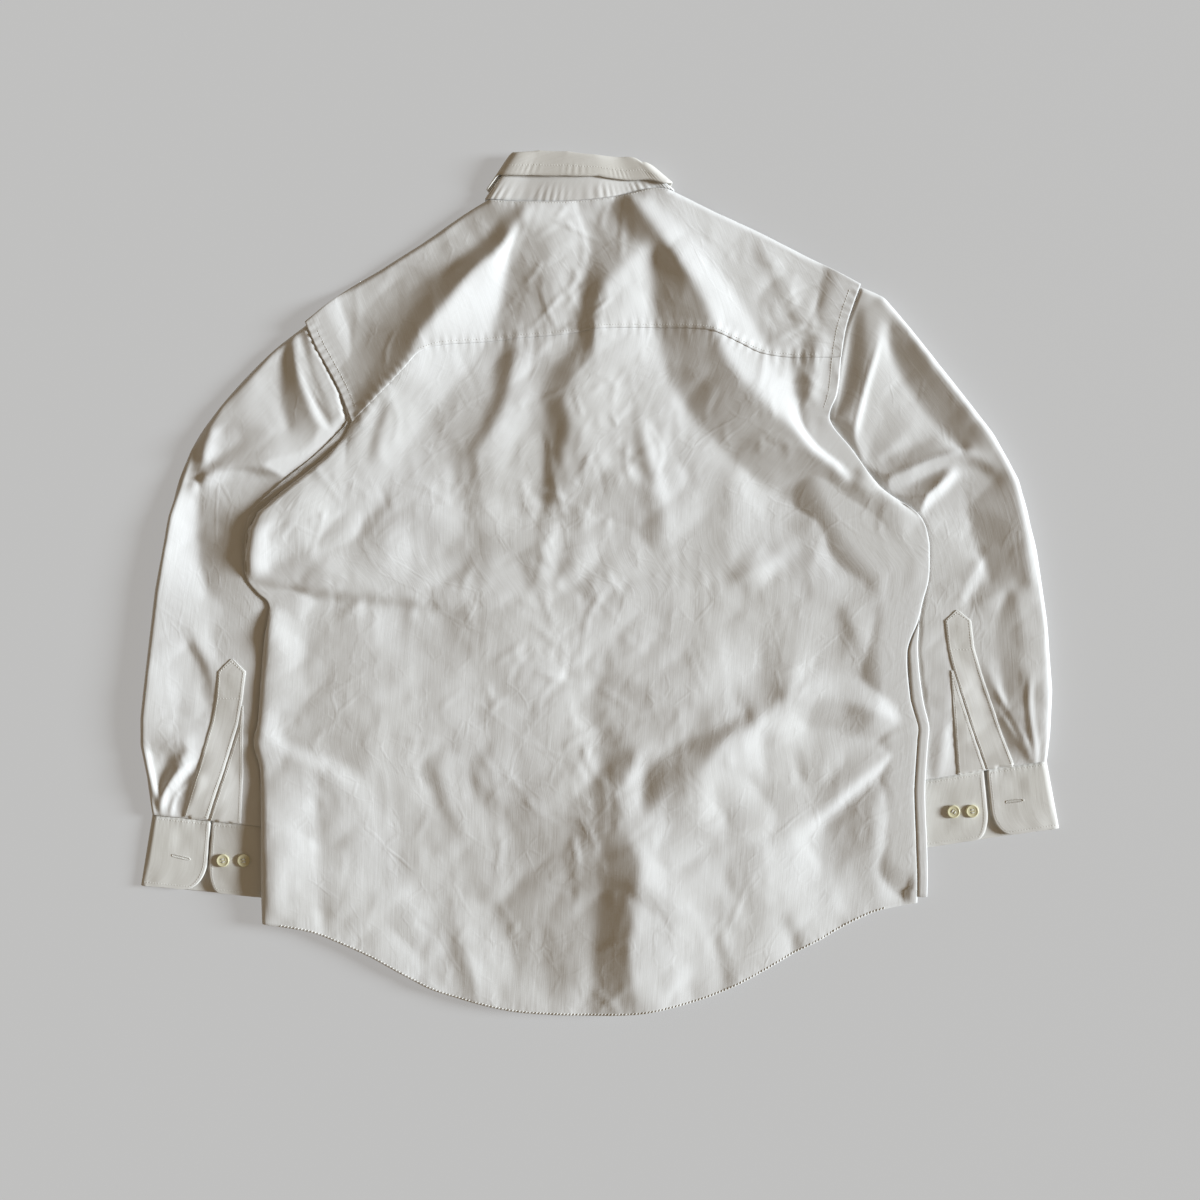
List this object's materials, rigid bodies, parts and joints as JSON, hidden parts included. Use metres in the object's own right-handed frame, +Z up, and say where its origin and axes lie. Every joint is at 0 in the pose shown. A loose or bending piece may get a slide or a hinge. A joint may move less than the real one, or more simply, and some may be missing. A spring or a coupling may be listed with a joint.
{
  "type": "crumpled button-up shirt",
  "caption": "Long-sleeved button-up shirt laid flat on its front, back up and crumpled, with a yoke, curved tails, sleeve plackets, open cuffs and a folded collar.",
  "frame": {"origin": "on the floor below the middle of the outline of the laid-out shirt", "axes": "+Z up from the floor, out of the shirt's back; +Y from the hem to the collar; +X across the shirt, to the right seen from above"},
  "size_m": [0.8856, 0.8339, 0.0259],
  "materials": {
    "cotton": "white cotton poplin with a soft sheen, crumpled",
    "collar_cotton": "the same cotton over an interlining, slightly warmer",
    "button": "cream four-hole button, satin gloss"
  },
  "bodies": {
    "root": {"back": "cotton", "yoke": "cotton", "left_front": "cotton", "right_front": "cotton", "front_placket": "cotton", "left_sleeve": "cotton", "right_sleeve": "cotton", "left_cuff": "cotton", "right_cuff": "cotton", "left_placket": "cotton", "right_placket": "cotton", "left_underlap": "cotton", "right_underlap": "cotton", "collar_stand": "collar_cotton", "collar_fall": "collar_cotton", "left_cuff_button_1": "button", "left_cuff_button_2": "button", "right_cuff_button_1": "button", "right_cuff_button_2": "button", "front_button_1": "button", "front_button_2": "button", "front_button_3": "button", "front_button_4": "button", "front_button_5": "button", "front_button_6": "button", "collar_button": "button"}
  },
  "joints": []
}
